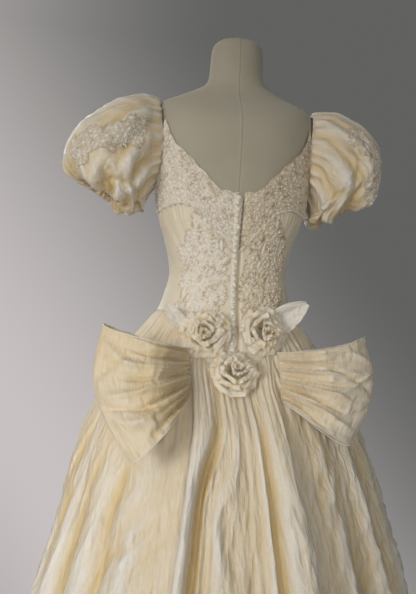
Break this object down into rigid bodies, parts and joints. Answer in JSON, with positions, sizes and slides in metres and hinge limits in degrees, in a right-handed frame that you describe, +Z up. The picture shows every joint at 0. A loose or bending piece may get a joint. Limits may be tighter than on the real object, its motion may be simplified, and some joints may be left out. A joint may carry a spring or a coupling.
{
  "type": "wedding dress on a dress form",
  "caption": "Ivory taffeta wedding gown with puff sleeves, beaded lace yoke, buttoned back, bow with folded roses and a full skirt, worn by a limbless dress form on a stand.",
  "frame": {"origin": "on the floor, under the middle of the skirt's extent", "axes": "+Z up, the dress's front faces -Y, its buttoned back faces +Y, and +X is the wearer's left"},
  "size_m": [0.9858, 0.968, 1.53],
  "materials": {
    "taffeta": "crisp silk-like taffeta with a soft sheen",
    "satin": "smooth satin",
    "lace": "corded lace with beads and sequins",
    "buttons": "satin-covered buttons",
    "canvas": "plain linen cover",
    "steel": "satin black"
  },
  "bodies": {
    "root": {"form_torso": "canvas", "form_pole": "steel", "form_base": "steel", "bodice_centre_back_left": "satin", "bodice_side_back_left": "satin", "bodice_side_front_left": "satin", "bodice_centre_front": "satin", "bodice_side_front_right": "satin", "bodice_side_back_right": "satin", "bodice_centre_back_right": "satin", "yoke_left": "lace", "yoke_right": "lace", "spray_back_left": "lace", "spray_back_right": "lace", "button_placket": "satin", "button_01": "buttons", "button_02": "buttons", "button_03": "buttons", "button_04": "buttons", "button_05": "buttons", "button_06": "buttons", "button_07": "buttons", "button_08": "buttons", "button_09": "buttons", "button_10": "buttons", "button_11": "buttons", "button_12": "buttons", "button_13": "buttons", "button_14": "buttons", "button_15": "buttons", "button_16": "buttons", "button_17": "buttons", "button_18": "buttons", "button_19": "buttons", "button_20": "buttons", "button_21": "buttons", "button_22": "buttons", "button_23": "buttons", "button_24": "buttons", "button_25": "buttons", "button_26": "buttons", "button_27": "buttons", "sleeve_left": "taffeta", "spray_sleeve_left": "lace", "sleeve_band_left": "satin", "sleeve_right": "taffeta", "spray_sleeve_right": "lace", "sleeve_band_right": "satin", "skirt_back": "taffeta", "skirt_left": "taffeta", "skirt_front": "taffeta", "skirt_right": "taffeta", "back_drape": "taffeta", "bow_loop_left": "taffeta", "bow_loop_right": "taffeta", "rose_left": "taffeta", "rose_right": "taffeta", "rose_middle": "taffeta", "leaf_left": "taffeta", "leaf_right": "taffeta"}
  },
  "joints": []
}
